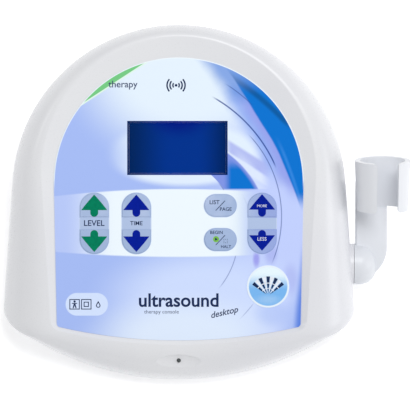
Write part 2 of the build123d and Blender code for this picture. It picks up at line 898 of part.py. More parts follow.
def pivot_screw():
    end = pivot_seat_x - pivot_boss_depth - pivot_gap
    head_end = end - washer_thickness
    head = cross_rod(screw_head_radius, head_end - screw_head_height, head_end)
    return head + cross_rod(screw_radius, head_end - 0.2, pivot_seat_x - 0.5)


nodes = {}
outer_hull = hull(0, ring_depth) - bay_room(0, 0)
inner_hull = hull(wall, -wall) - bay_room(wall, wall + rear_plate_thickness)
nodes["upper_shell"] = upper_shell(outer_hull, inner_hull)
nodes["lower_shell"] = lower_shell(outer_hull, inner_hull)
nodes["front_label"] = front_label()
for name, u, v, width, height, sign in key_places():
    nodes[name] = make_key(u, v, width, height, sign)
nodes["display_window"] = display_window()
nodes["display_bezel"] = display_bezel()
nodes["display_glass"] = display_glass()
nodes["control_board"] = panel_board(0)
nodes["display_board"] = panel_board(1)
nodes["key_switches"] = key_switches()
nodes["panel_screws"] = panel_screws()
nodes["power_light"] = power_light()
nodes["light_board"] = light_board()
nodes["rubber_feet"] = rubber_feet()
nodes["rating_plate"] = rating_plate()
nodes["case_screws"] = case_screws()
nodes["main_board"] = main_board()
nodes["main_board_screws"] = main_board_screws()
nodes["heatsink"] = heatsink()
nodes["power_transistors"] = power_transistors()
nodes["output_coil"] = output_coil()
nodes["capacitors"] = capacitors()
nodes["board_chips"] = board_chips()
nodes["buzzer"] = buzzer()
nodes["transformer_core"] = transformer_core()
nodes["transformer_winding"] = transformer_winding()
nodes["rear_plate"] = rear_plate()
nodes["mains_inlet"] = mains_inlet()
nodes["fuse_drawer"] = fuse_drawer()
nodes["fuse"] = fuse()
nodes["power_switch"] = power_switch()
nodes["power_rocker"] = power_rocker()
nodes["transducer_socket"] = transducer_socket()
nodes["socket_insert"] = socket_insert()
nodes["socket_nut"] = socket_nut()
nodes["plate_screws"] = plate_screws()
nodes["applicator_holder"] = applicator_holder()
nodes["pivot_washer"] = pivot_washer()
nodes["pivot_screw"] = pivot_screw()


def solids_of(shape):
    pieces = shape if isinstance(shape, list) else [shape]
    return [solid for piece in pieces for solid in piece.solids()]


os.makedirs("parts", exist_ok=True)
solids = {name: solids_of(shape) for name, shape in nodes.items()}
box = Compound([solid for group in solids.values() for solid in group]).bounding_box()
shift = Pos(-box.center().X, -box.center().Y, -box.min.Z)
print("shift", shift.position, "size", box.size)
for name, group in solids.items():
    moved = [shift * solid for solid in group]
    export_step(moved[0] if len(moved) == 1 else Compound(moved), f"parts/{name}.step")
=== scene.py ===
import json
import math

import bmesh
import bpy
from mathutils import Matrix, Vector


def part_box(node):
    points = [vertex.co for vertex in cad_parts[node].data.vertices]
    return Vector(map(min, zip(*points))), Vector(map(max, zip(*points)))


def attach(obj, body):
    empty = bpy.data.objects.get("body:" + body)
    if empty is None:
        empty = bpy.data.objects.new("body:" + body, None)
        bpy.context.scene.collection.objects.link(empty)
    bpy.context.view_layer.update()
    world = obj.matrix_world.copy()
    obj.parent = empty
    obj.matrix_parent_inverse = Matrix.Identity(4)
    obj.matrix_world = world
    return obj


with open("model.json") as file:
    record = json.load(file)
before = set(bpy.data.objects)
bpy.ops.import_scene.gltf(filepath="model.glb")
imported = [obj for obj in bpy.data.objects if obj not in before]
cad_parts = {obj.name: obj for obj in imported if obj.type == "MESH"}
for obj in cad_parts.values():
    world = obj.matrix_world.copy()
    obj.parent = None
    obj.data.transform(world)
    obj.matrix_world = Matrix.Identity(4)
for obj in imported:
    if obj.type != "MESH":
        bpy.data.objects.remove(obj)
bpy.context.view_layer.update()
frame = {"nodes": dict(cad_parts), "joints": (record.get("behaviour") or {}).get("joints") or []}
print("frame loaded,", len(frame["nodes"]), "nodes")

# The control panel's own axes: across to the right, upSlope away from the user, outward off its face
pressAxis = next(joint["axis"] for joint in frame["joints"] if joint["name"] == "key_prog_menu_press")
outward = -Vector(pressAxis).normalized()
across = Vector((1.0, 0.0, 0.0))
upSlope = outward.cross(across)
windowPlace = {"u": -1.0, "v": 32.8, "w": -1.0, "width": 75.6, "height": 40.7, "border": 1.3}
windowLow, windowHigh = (Vector(corner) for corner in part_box("display_window"))
panelOrigin = (windowLow + windowHigh) / 2 - (
    across * windowPlace["u"] + upSlope * windowPlace["v"] + outward * windowPlace["w"]) / 1000


def placeMatrix(right, up, out, origin):
    # Turns millimetres on a face into metres in the frame.
    matrix = Matrix((right, up, out)).transposed().to_4x4()
    return Matrix.Translation(origin) @ matrix @ Matrix.Scale(0.001, 4)


panelMatrix = placeMatrix(across, upSlope, outward, panelOrigin)
plateLow, plateHigh = (Vector(corner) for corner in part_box("rear_plate"))
plateMiddle = Vector(((plateLow.x + plateHigh.x) / 2, plateHigh.y, (plateLow.z + plateHigh.z) / 2))
rearMatrix = placeMatrix(Vector((-1, 0, 0)), Vector((0, 0, 1)), Vector((0, 1, 0)), plateMiddle)


def shade(red, green, blue):
    # A colour named by its screen values, as the linear colour that a shader takes.
    parts = [part / 255 for part in (red, green, blue)]
    return tuple(p / 12.92 if p <= 0.04045 else ((p + 0.055) / 1.055) ** 2.4 for p in parts) + (1.0,)


class Bench:
    # A node tree and the one method that puts nodes into it.
    def __init__(self, tree):
        self.tree = tree

    def node(self, kind, settings=None, values=None, out=0):
        made = self.tree.nodes.new(kind)
        for name, setting in (settings or {}).items():
            setattr(made, name, setting)
        for name, value in (values or {}).items():
            if isinstance(value, Value):
                self.tree.links.new(value.socket, made.inputs[name])
            else:
                made.inputs[name].default_value = value
        return Value(self, made.outputs[out]) if len(made.outputs) else made


class Value:
    # A socket that Python's own arithmetic works on.
    def __init__(self, bench, socket):
        self.bench = bench
        self.socket = socket

    def math(self, operation, *terms):
        return self.bench.node("ShaderNodeMath", {"operation": operation}, dict(enumerate(terms)))

    def __add__(self, other):
        return self.math("ADD", self, other)

    def __sub__(self, other):
        return self.math("SUBTRACT", self, other)

    def __rsub__(self, other):
        return self.math("SUBTRACT", other, self)

    def __mul__(self, other):
        return self.math("MULTIPLY", self, other)

    def __abs__(self):
        return self.math("ABSOLUTE", self)

    def higher(self, other):
        return self.math("MAXIMUM", self, other)

    __radd__ = __add__
    __rmul__ = __mul__


class Finish(Bench):
    # A material built node by node on Object coordinates.
    def __init__(self, name):
        self.material = bpy.data.materials.new(name)
        self.material.use_nodes = True
        self.material.node_tree.nodes.clear()
        super().__init__(self.material.node_tree)
        self.place = self.node("ShaderNodeTexCoord", out="Object")

    def along(self, axis, origin=Vector()):
        # Distance along an axis, in millimetres.
        step = self.node("ShaderNodeVectorMath", {"operation": "DOT_PRODUCT"},
                         {0: self.place, 1: tuple(axis * 1000)}, "Value")
        return step - origin.dot(axis) * 1000

    def flat(self, u, v):
        return self.node("ShaderNodeCombineXYZ", None, {0: u, 1: v})

    def reach(self, point, centre, size=(1.0, 1.0)):
        # Distance from a centre, counted in the ellipse's own half widths.
        squeezed = self.node("ShaderNodeVectorMath", {"operation": "MULTIPLY"},
                             {0: point, 1: (1 / size[0], 1 / size[1], 0.0)})
        return self.node("ShaderNodeVectorMath", {"operation": "DISTANCE"},
                         {0: squeezed, 1: (centre[0] / size[0], centre[1] / size[1], 0.0)}, "Value")

    def fade(self, value, low, high):
        # Nought at low, one at high, smooth between; low may be the larger.
        return self.node("ShaderNodeMapRange", {"interpolation_type": "SMOOTHSTEP"},
                         {"Value": value, "From Min": low, "From Max": high})

    def mix(self, factor, first, second):
        return self.node("ShaderNodeMix", {"data_type": "RGBA"}, {0: factor, 6: first, 7: second}, 2)

    def noise(self, scale, detail=2.0, roughness=0.5, place=None):
        return self.node("ShaderNodeTexNoise", None, {
            "Vector": place or self.place, "Scale": scale, "Detail": detail, "Roughness": roughness})

    def stretch(self, scales):
        return self.node("ShaderNodeMapping", None, {"Vector": self.place, "Scale": scales})

    def bump(self, height, strength, distance):
        return self.node("ShaderNodeBump", None, {
            "Height": height, "Strength": strength, "Distance": distance})

    def principled(self, values):
        shader = self.node("ShaderNodeBsdfPrincipled", None, values)
        self.node("ShaderNodeOutputMaterial", None, {"Surface": shader})
        return self.material


# ---- finishes of the housing


shellLook = {"grey": shade(226, 227, 230), "cool": shade(221, 222, 227), "roughness": 0.26, "grain": 900.0}


def mouldedShell(name, light, dark, look):
    finish = Finish(name)
    drift = finish.noise(9.0, 2.0)
    grain = finish.noise(look["grain"], 3.0, 0.6)
    fine = finish.bump(grain, 0.05, 0.0002)
    return finish.principled({
        "Base Color": finish.mix(finish.fade(drift, 0.3, 0.7), light, dark),
        "Roughness": finish.fade(grain, 0.2, 0.9) * 0.08 + look["roughness"],
        "Normal": fine, "Specular IOR Level": 0.35})


# The printed overlay: every size is in millimetres on the panel, u to the right and v up the slope
overlay = {
    "periwinkle": shade(166, 188, 245), "rightSide": shade(193, 207, 253), "pale": shade(228, 241, 253),
    "lowerPale": shade(222, 235, 254), "lilac": shade(206, 221, 255), "halo": shade(229, 242, 255),
    "bandEnd": shade(184, 201, 249), "band": shade(238, 248, 255), "bandRight": shade(206, 222, 245),
    "pad": shade(176, 194, 227), "padEdge": shade(196, 211, 240), "crescent": shade(0, 114, 208),
    "topHaze": shade(90, 140, 222), "fringe": shade(142, 172, 242), "shine": shade(70, 150, 236),
    "deepBlue": shade(0, 90, 162), "lavender": shade(150, 163, 236), "strip": shade(96, 134, 226),
    "wedgeStart": shade(128, 148, 228), "swoosh": shade(222, 233, 255), "penLine": shade(40, 72, 150),
    "brush": shade(170, 180, 240), "violet": shade(146, 142, 234), "footBlue": shade(160, 184, 244),
    "green": shade(118, 202, 132), "greenRim": shade(226, 246, 236), "symbolField": shade(212, 227, 255),
    "padTall": {"u": (-63.6, -31.9, 62.7), "v": -24.0, "width": 21.1, "height": 45.2},
    "padWide": {"u": 31.3, "v": (-10.6, -36.2), "width": 23.6, "height": 16.2}, "stripHalf": 4.9,
    "symbolPill": {"u": -69.2, "v": -84.9, "width": 31.9, "height": 17.1},
    "arch": {"v": 6.9, "radius": 94.1}}

# Fine drawn curves of the artwork: centre, radius, how far they run in u and in v, half width and strength
penStrokes = [((-27.9, -25.0), 110.0, (24.0, 74.0), (12.0, 76.0), 0.42, 0.9),
              ((-11.6, -18.8), 89.0, (50.5, 80.0), (-56.0, 46.0), 0.3, 0.65),
              ((-16.3, -33.4), 61.0, (27.0, 46.0), (-76.0, 10.0), 0.26, 0.55),
              ((-30.0, -22.0), 122.0, (33.0, 58.0), (62.0, 84.0), 0.3, 0.6),
              ((-6.5, -31.0), 61.5, (46.0, 54.0), (-14.0, 3.0), 0.26, 0.5),
              ((-40.0, -10.0), 121.6, (43.0, 58.0), (-99.0, -82.0), 0.24, 0.4)]
strokeEnds = {"left": 7.0, "right": 3.0, "foot": 9.0, "top": 6.0, "outside": 0.3, "inside": 0.15}

# Wide soft washes of the ground: centre, half widths, where they fade out and are full, colour
washes = [((5.0, 95.0), (92.0, 78.0), (1.1, 0.45), "pale"),
          ((18.0, -80.0), (80.0, 42.0), (1.15, 0.4), "lilac"),
          ((5.0, -112.0), (75.0, 34.0), (1.2, 0.4), "lowerPale")]

# Soft brushed patches: centre, half widths, colour and strength
brushPatches = [((58.4, -51.0), (3.2, 7.5), "violet", 0.75), ((69.4, -46.0), (6.0, 11.0), "brush", 0.8),
                ((84.0, -66.0), (7.0, 14.0), "brush", 0.6), ((66.0, 24.0), (5.0, 14.0), "brush", 0.5),
                ((62.0, 43.0), (6.0, 15.0), "fringe", 0.55), ((76.0, 18.0), (5.0, 17.0), "brush", 0.6),
                ((71.0, -92.0), (16.0, 12.0), "footBlue", 0.4), ((54.0, 60.0), (5.0, 12.0), "fringe", 0.5)]


def pillReach(finish, u, v, place):
    # Distance outside a pill whose ends are half circles.
    width, height = place["width"], place["height"]
    radius = min(width, height) / 2
    sideways = (abs(u - place["u"]) - (width / 2 - radius)).higher(0.0)
    upward = (abs(v - place["v"]) - (height / 2 - radius)).higher(0.0)
    return finish.reach(finish.flat(sideways, upward), (0.0, 0.0)) - radius


def padPlaces():
    tall, wide = overlay["padTall"], overlay["padWide"]
    places = [dict(tall, u=u) for u in tall["u"]]
    return places + [dict(wide, v=v) for v in wide["v"]]


# Every pair below is where a fade starts and ends: depth across the edge, top and foot in v
crescent = {"centre": (-296.4, -141.6), "radius": 408.6, "bulge": 2.3, "bulgeFoot": (30.0, 62.0),
            "depth": (0.0, 1.6), "top": (99.0, 72.0), "foot": (-16.0, 0.0)}
fringe = {"brush": 7.0, "depth": (-15.0, -3.0), "top": (84.0, 66.0), "foot": (0.0, 26.0), "strength": 0.85}
innerBand = {"brush": 5.0, "depth": (-7.0, 2.0), "top": (84.0, 60.0), "foot": (-12.0, 12.0)}
topHaze = {"brush": 6.0, "depth": (-13.0, 0.0), "foot": (62.0, 76.0), "strength": 0.8}
deepStreak = {"centre": (-82.0, -101.0), "radius": 223.4, "width": (3.4, 0.4), "foot": (44.0, 54.0)}
shineStreak = {"centre": (-226.0, -96.0), "radius": 329.5, "width": (2.0, 0.0), "top": (44.0, 26.0),
               "strength": 0.45}


def crescentArt(ink, v, point, brush, colour):
    # Blue crescent down the right edge, with its streaks, and the lavender band and haze along it.
    edge = ink.reach(point, crescent["centre"]) - crescent["radius"]
    edge = edge + ink.fade(v, *crescent["bulgeFoot"]) * crescent["bulge"]
    soft = ink.fade(edge + brush * fringe["brush"], *fringe["depth"])
    soft = soft * ink.fade(v, *fringe["top"]) * ink.fade(v, *fringe["foot"])
    colour = ink.mix(soft * fringe["strength"], colour, overlay["fringe"])
    band = ink.fade(edge + brush * innerBand["brush"], *innerBand["depth"])
    band = band * ink.fade(v, *innerBand["top"]) * ink.fade(v, *innerBand["foot"])
    colour = ink.mix(band, colour, overlay["lavender"])
    haze = ink.fade(edge + brush * topHaze["brush"], *topHaze["depth"]) * ink.fade(v, *topHaze["foot"])
    colour = ink.mix(haze * topHaze["strength"], colour, overlay["topHaze"])
    away = abs(ink.reach(point, deepStreak["centre"]) - deepStreak["radius"])
    deep = ink.fade(away, *deepStreak["width"]) * ink.fade(v, *deepStreak["foot"])
    blue = ink.mix(deep, overlay["crescent"], overlay["deepBlue"])
    away = abs(ink.reach(point, shineStreak["centre"]) - shineStreak["radius"])
    shine = ink.fade(away, *shineStreak["width"]) * ink.fade(v, *shineStreak["top"])
    blue = ink.mix(shine * shineStreak["strength"], blue, overlay["shine"])
    inside = ink.fade(edge + brush, *crescent["depth"])
    return ink.mix(inside * ink.fade(v, *crescent["top"]) * ink.fade(v, *crescent["foot"]), colour, blue)


# The wedge lies between two arcs; the sash is a slanted brush stroke with a pale swoosh along it
wedge = {"inner": ((-16.3, -33.4), 61.0), "outer": ((-6.5, -31.0), 74.0), "foot": (1.0, 2.6),
         "left": (10.0, 20.0), "blueLeft": (33.0, 40.0), "blueTop": (26.0, 16.0), "blueRim": (-0.6, -3.4)}
sash = {"slope": (0.53, 0.848), "brush": (48.6, 5.4, 2.4), "swoosh": (41.6, 4.4, 1.6), "strength": 0.85,
        "left": (34.0, 40.0), "right": (70.0, 60.0)}
wedgeGlow = {"depth": (9.0, 1.0), "edge": (-0.5, 0.5), "left": (40.0, 50.0), "strength": 0.6}


def wedgeArt(ink, u, v, point, colour):
    # Wedge beside the display, with the sash above it and a glow along its outer arc.
    (innerCentre, innerRadius), (outerCentre, outerRadius) = wedge["inner"], wedge["outer"]
    innerArc = ink.reach(point, innerCentre) - innerRadius
    outerArc = ink.reach(point, outerCentre) - outerRadius
    aboveBand = ink.fade(v, *wedge["foot"]) * ink.fade(u, *wedge["left"])
    slant = u * sash["slope"][0] + v * sash["slope"][1]
    sideways = ink.fade(u, *sash["left"]) * ink.fade(u, *sash["right"])
    for tint, strength in (("brush", sash["strength"]), ("swoosh", 1.0)):
        middle, out, full = sash[tint]
        stroke = ink.fade(abs(slant - middle), out, full) * sideways * strength
        colour = ink.mix(stroke, colour, overlay[tint])
    glow = ink.fade(outerArc, *wedgeGlow["depth"]) * ink.fade(outerArc, *wedgeGlow["edge"])
    glow = glow * aboveBand * wedgeGlow["strength"] * ink.fade(u, *wedgeGlow["left"])
    colour = ink.mix(glow, colour, overlay["swoosh"])
    inside = ink.fade(innerArc, 0.0, 0.6) * ink.fade(outerArc, 0.6, -0.8) * aboveBand
    blue = ink.fade(u, *wedge["blueLeft"]) * ink.fade(outerArc, *wedge["blueRim"])
    blue = blue * ink.fade(v, *wedge["blueTop"])
    return ink.mix(inside, colour, ink.mix(blue, overlay["wedgeStart"], overlay["crescent"]))


halo = {"centre": (4.0, 28.0), "size": (58.0, 24.0), "edge": (1.1, 0.86), "left": (-62.0, -24.0),
        "strength": 0.9}


def haloArt(ink, u, point, colour):
    # Soft glow round the display, weaker at the left.
    strength = ink.fade(u, *halo["left"]) * halo["strength"]
    glow = ink.fade(ink.reach(point, halo["centre"], halo["size"]), *halo["edge"])
    return ink.mix(glow * strength, colour, overlay["halo"])


lens = {"top": 1.9, "topBend": 0.000626, "foot": -49.3, "footBend": 0.000437, "right": (62.0, 42.0),
        "leftTint": (-88.0, -46.0), "rightTint": (34.0, 60.0)}


def lensArt(ink, u, v, colour):
    # The pale lens behind the keys, between two shallow curves.
    below = v - (lens["top"] - u * u * lens["topBend"])
    above = v - (u * u * lens["footBend"] + lens["foot"])
    inside = ink.fade(above, -0.6, 0.8) * ink.fade(below, 0.6, -0.6) * ink.fade(u, *lens["right"])
    tint = ink.mix(ink.fade(u, *lens["leftTint"]), overlay["bandEnd"], overlay["band"])
    tint = ink.mix(ink.fade(u, *lens["rightTint"]), tint, overlay["bandRight"])
    return ink.mix(inside, colour, tint)


# The blue foot at the bottom right, the strip along the right edge and the green slice at the top left
footWash = {"slant": -0.35, "brush": 6.0, "edge": (108.0, 134.0)}
edgeStrip = {"widen": (-36.0, -110.0), "wide": 6.0, "edge": (90.5, 96.5), "top": (-34.0, -56.0)}
greenSlice = {"slope": (-0.546, 0.838), "rim": (93.9, 94.4), "edge": (95.0, 95.5)}
archRim = {"edge": (-0.9, -0.5), "foot": (0.0, 12.0)}


def labelPrint():
    ink = Finish("labelPrint")
    u = ink.along(across, panelOrigin)
    v = ink.along(upSlope, panelOrigin)
    point = ink.flat(u, v)
    brush = ink.noise(38.0, 3.0, 0.6, ink.stretch((1.0, 1.0, 0.3)))
    colour = ink.mix(ink.fade(u, 0.0, 74.0), overlay["periwinkle"], overlay["rightSide"])
    for centre, size, edge, tint in washes:
        colour = ink.mix(ink.fade(ink.reach(point, centre, size), *edge), colour, overlay[tint])
    foot = ink.fade(u + v * footWash["slant"] + brush * footWash["brush"], *footWash["edge"])
    colour = ink.mix(foot, colour, overlay["footBlue"])
    for centre, size, tint, strength in brushPatches:
        patch = ink.fade(ink.reach(point, centre, size), 1.15, 0.3) * strength
        colour = ink.mix(patch, colour, overlay[tint])
    strip = ink.fade(u + ink.fade(v, *edgeStrip["widen"]) * edgeStrip["wide"], *edgeStrip["edge"])
    colour = ink.mix(strip * ink.fade(v, *edgeStrip["top"]), colour, overlay["strip"])
    colour = haloArt(ink, u, point, colour)
    colour = crescentArt(ink, v, point, brush, colour)
    colour = wedgeArt(ink, u, v, point, colour)
    for centre, radius, (left, right), (foot, top), half, strength in penStrokes:
        away = abs(ink.reach(point, centre) - radius)
        length = ink.fade(u, left, left + strokeEnds["left"])
        length = length * ink.fade(u, right, right - strokeEnds["right"])
        length = length * ink.fade(v, foot, foot + strokeEnds["foot"])
        length = length * ink.fade(v, top, top - strokeEnds["top"])
        line = ink.fade(away, half + strokeEnds["outside"], half - strokeEnds["inside"])
        colour = ink.mix(line * length * strength, colour, overlay["penLine"])
    colour = lensArt(ink, u, v, colour)

    # Green crescent under the top left edge, and the pale rim of the whole arch
    chord = u * greenSlice["slope"][0] + v * greenSlice["slope"][1]
    colour = ink.mix(ink.fade(chord, *greenSlice["rim"]), colour, overlay["greenRim"])
    colour = ink.mix(ink.fade(chord, *greenSlice["edge"]), colour, overlay["green"])
    arch = ink.reach(point, (0.0, overlay["arch"]["v"])) - overlay["arch"]["radius"]
    rim = ink.fade(arch, *archRim["edge"]) * ink.fade(v, *archRim["foot"])
    colour = ink.mix(rim, colour, overlay["band"])

    # Printed pads under and between the raised keys
    for place in padPlaces():
        edge = pillReach(ink, u, v, place)
        colour = ink.mix(ink.fade(edge, 1.0, 0.5), colour, overlay["padEdge"])
        colour = ink.mix(ink.fade(edge, 0.35, 0.0), colour, overlay["pad"])
    colour = ink.mix(ink.fade(pillReach(ink, u, v, overlay["symbolPill"]), 0.3, -0.3), colour,
                     overlay["symbolField"])
    grain = ink.noise(1400.0, 2.0)
    return ink.principled({"Base Color": colour, "Roughness": ink.fade(grain, 0.1, 0.9) * 0.1 + 0.42,
                           "Normal": ink.bump(grain, 0.04, 0.0001), "Specular IOR Level": 0.06})


def keyFilm():
    film = Finish("keyFilm")
    u = film.along(across, panelOrigin)
    v = film.along(upSlope, panelOrigin)
    cloud = film.fade(film.noise(60.0, 2.0), 0.3, 0.7)
    colour = film.mix(cloud * film.fade(v, -44.0, -4.0), shade(160, 181, 217), shade(180, 196, 228))
    colour = film.mix(film.fade(u, 44.0, 70.0), colour, shade(150, 168, 222))
    grain = film.noise(1600.0, 2.0)
    return film.principled({"Base Color": colour, "Roughness": film.fade(grain, 0.1, 0.9) * 0.12 + 0.42,
                            "Normal": film.bump(grain, 0.06, 0.0001), "Specular IOR Level": 0.15})


def printInk(name, red, green, blue):
    # Solid screen ink, very slightly uneven.
    ink = Finish(name)
    patch = ink.noise(500.0, 3.0)
    deep = shade(red * 0.92, green * 0.92, blue * 0.92)
    return ink.principled({"Base Color": ink.mix(ink.fade(patch, 0.35, 0.75), shade(red, green, blue), deep),
                           "Roughness": ink.fade(patch, 0.2, 0.8) * 0.1 + 0.5, "Specular IOR Level": 0.04})


def displayColour(glass, u, v):
    # The unlit display: navy at the sides, brighter in the middle, with a darker lobe at the top.
    colour = glass.mix(glass.fade(u, -40.0, -4.0), shade(1, 38, 94), shade(2, 52, 144))
    colour = glass.mix(glass.fade(u, 14.0, 40.0), colour, shade(0, 36, 94))
    lobe = glass.reach(glass.flat(u, v), (0.0, 56.0), (26.0, 15.0))
    return glass.mix(glass.fade(lobe, 1.2, 0.3) * 0.8, colour, shade(1, 20, 130))


# Painted glow: the unlit display shines with its own colour as emission, with no light falling on it.
def displayGlow():
    glow = Finish("displayGlow")
    u = glow.along(across, panelOrigin)
    v = glow.along(upSlope, panelOrigin)
    dots = glow.node("ShaderNodeTexBrick", {"offset": 0.0, "squash": 1.0}, {
        "Vector": glow.flat(u, v), "Color1": (1, 1, 1, 1), "Color2": (1, 1, 1, 1),
        "Mortar": (0.9, 0.9, 0.9, 1), "Scale": 1.0, "Mortar Size": 0.06, "Brick Width": 0.59,
        "Row Height": 0.64})
    lit = glow.node("ShaderNodeMix", {"data_type": "RGBA", "blend_type": "MULTIPLY"},
                    {0: 1.0, 6: displayColour(glow, u, v), 7: dots}, 2)
    return glow.principled({"Base Color": (0.0, 0.0, 0.0, 1.0), "Roughness": 0.5, "Emission Color": lit,
                            "Emission Strength": 1.0, "Specular IOR Level": 0.02})


def clearWindow():
    # Clear in the middle, with a printed border as dark as the display behind it.
    window = Finish("clearWindow")
    u = window.along(across, panelOrigin)
    v = window.along(upSlope, panelOrigin)
    border = windowPlace["border"]
    sideways = abs(u - windowPlace["u"]) - (windowPlace["width"] / 2 - border)
    upward = abs(v - windowPlace["v"]) - (windowPlace["height"] / 2 - border)
    printed = window.fade(sideways.higher(upward), -0.15, 0.15)
    smear = window.noise(24.0, 3.0)
    return window.principled({"Base Color": displayColour(window, u, v), "Alpha": printed * 0.94 + 0.06,
                              "Roughness": window.fade(smear, 0.2, 0.9) * 0.06 + 0.08,
                              "Specular IOR Level": 0.03})


def badgeEnamel():
    enamel = Finish("badgeEnamel")
    u = enamel.along(across, panelOrigin)
    v = enamel.along(upSlope, panelOrigin)
    point = enamel.flat(u, v)
    centre = (badge["u"], badge["v"])
    # Painted highlight: the flat badge pales towards its top, where light would catch a domed sticker.
    colour = enamel.mix(enamel.fade(v, centre[1] - 3.0, centre[1] + 11.0), shade(120, 182, 240),
                        shade(232, 248, 255))
    haze = enamel.fade(enamel.reach(point, (centre[0], centre[1] - 10.0), (11.0, 4.5)), 1.2, 0.2)
    colour = enamel.mix(haze * 0.5, colour, shade(172, 208, 244))
    rim = enamel.fade(enamel.reach(point, centre), badge["field"] - 0.3, badge["field"] + 0.3)
    colour = enamel.mix(rim, colour, shade(231, 242, 252))
    sparkle = enamel.noise(420.0, 3.0)
    return enamel.principled({"Base Color": colour, "Roughness": enamel.fade(sparkle, 0.2, 0.8) * 0.12 + 0.2,
                              "Specular IOR Level": 0.2})


# ---- finishes of the fittings and of what is inside


def brushedMetal(name, light, dark, roughness, stretchBy):
    metal = Finish(name)
    streak = metal.noise(260.0, 4.0, 0.65, metal.stretch(stretchBy))
    return metal.principled({
        "Base Color": metal.mix(metal.fade(streak, 0.3, 0.7), light, dark), "Metallic": 1.0,
        "Roughness": metal.fade(streak, 0.25, 0.75) * 0.18 + roughness,
        "Normal": metal.bump(streak, 0.08, 0.0002)})


def blackMoulding(name, roughness):
    moulding = Finish(name)
    grain = moulding.noise(1100.0, 3.0, 0.65)
    return moulding.principled({
        "Base Color": moulding.mix(moulding.fade(grain, 0.3, 0.8), shade(28, 29, 31), shade(44, 45, 48)),
        "Roughness": moulding.fade(grain, 0.2, 0.8) * 0.16 + roughness,
        "Normal": moulding.bump(grain, 0.15, 0.0002)})


def markedRocker(low, high, marks):
    # Glossy rocker whose bar and ring are printed white on its two halves.
    rocker = Finish("glossyRocker")
    middle = (low + high) / 2
    x = rocker.along(Vector((1, 0, 0)), middle)
    z = rocker.along(Vector((0, 0, 1)), middle)
    point = rocker.flat(x, z)
    line = (marks["line"] + marks["blur"], marks["line"] - marks["blur"])
    ends = (marks["long"] + marks["blur"], marks["long"] - marks["blur"])
    bar = rocker.fade(abs(x), *line) * rocker.fade(abs(z - marks["up"]), *ends)
    ring = abs(rocker.reach(point, (0.0, -marks["up"])) - marks["ring"])
    mark = bar + rocker.fade(ring, *line)
    grain = rocker.noise(1100.0, 3.0, 0.65)
    dark = rocker.mix(rocker.fade(grain, 0.3, 0.8), shade(24, 25, 27), shade(40, 41, 44))
    return rocker.principled({"Base Color": rocker.mix(mark, dark, shade(226, 228, 230)),
                              "Roughness": rocker.fade(grain, 0.2, 0.8) * 0.14 + 0.16,
                              "Normal": rocker.bump(grain, 0.1, 0.0002)})


def solderResist():
    resist = Finish("solderResist")
    tracks = resist.node("ShaderNodeTexBrick", {"offset": 0.35, "squash": 0.8}, {
        "Vector": resist.place, "Color1": shade(14, 86, 52), "Color2": shade(18, 98, 58),
        "Mortar": shade(40, 130, 76), "Scale": 60.0, "Mortar Size": 0.03, "Brick Width": 0.6,
        "Row Height": 0.22})
    pads = resist.node("ShaderNodeTexVoronoi", None, {"Vector": resist.place, "Scale": 320.0})
    solder = resist.fade(pads, 0.22, 0.16)
    return resist.principled({"Base Color": resist.mix(solder, tracks, shade(190, 192, 190)),
                              "Metallic": solder * 0.9, "Roughness": resist.noise(200.0) * 0.2 + 0.25,
                              "Coat Weight": 0.2})


def laminatedCore():
    core = Finish("laminatedCore")
    sheets = core.node("ShaderNodeTexWave", {"bands_direction": "X"}, {
        "Vector": core.place, "Scale": 320.0, "Distortion": 0.4, "Detail": 1.0}, 1)
    rust = core.noise(70.0, 4.0)
    colour = core.mix(core.fade(rust, 0.45, 0.75), shade(74, 70, 68), shade(104, 84, 70))
    return core.principled({"Base Color": colour, "Metallic": 0.6,
                            "Roughness": core.fade(rust, 0.2, 0.8) * 0.3 + 0.4,
                            "Normal": core.bump(sheets, 0.5, 0.0003)})


def woundCopper():
    wire = Finish("woundCopper")
    turns = wire.node("ShaderNodeTexWave", {"bands_direction": "Z"}, {
        "Vector": wire.place, "Scale": 400.0, "Distortion": 0.6, "Detail": 1.5}, 1)
    # Painted shade and highlight: the copper darkens in the grooves between turns and pales on their crowns.
    colour = wire.mix(turns, shade(122, 62, 30), shade(206, 122, 68))
    return wire.principled({"Base Color": colour, "Metallic": 0.85,
                            "Roughness": wire.noise(300.0) * 0.2 + 0.28,
                            "Normal": wire.bump(turns, 0.7, 0.0004), "Coat Weight": 0.4})


def blackRubber():
    rubber = Finish("blackRubber")
    dust = rubber.noise(160.0, 4.0, 0.7)
    grit = rubber.noise(1500.0, 2.0)
    colour = rubber.mix(rubber.fade(dust, 0.4, 0.8), shade(30, 30, 32), shade(62, 62, 64))
    return rubber.principled({"Base Color": colour, "Roughness": rubber.fade(dust, 0.2, 0.8) * 0.15 + 0.75,
                              "Normal": rubber.bump(grit, 0.2, 0.0002)})


def smokedLens():
    lens = Finish("smokedLens")
    depth = lens.noise(700.0, 2.0)
    return lens.principled({"Base Color": lens.mix(depth, shade(20, 28, 30), shade(44, 56, 58)),
                            "Roughness": depth * 0.1 + 0.08, "Coat Weight": 0.6})


def foilPlate():
    foil = Finish("foilPlate")
    rows = foil.node("ShaderNodeTexBrick", {"offset": 0.0, "squash": 1.0}, {
        "Vector": foil.place, "Color1": shade(214, 216, 220), "Color2": shade(206, 208, 213),
        "Mortar": shade(120, 124, 132), "Scale": 30.0, "Mortar Size": 0.012, "Brick Width": 0.6,
        "Row Height": 0.18})
    brushed = foil.noise(300.0, 3.0, 0.6, foil.stretch((0.1, 1.0, 1.0)))
    return foil.principled({"Base Color": rows, "Metallic": 0.7,
                            "Roughness": foil.fade(brushed, 0.2, 0.8) * 0.2 + 0.3})


# ---- making pieces


def own(piece, body, finish):
    # Gives a finished piece its material, its body and the slot its finish belongs to.
    piece.data.materials.clear()
    piece.data.materials.append(finish)
    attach(piece, body)
    return piece


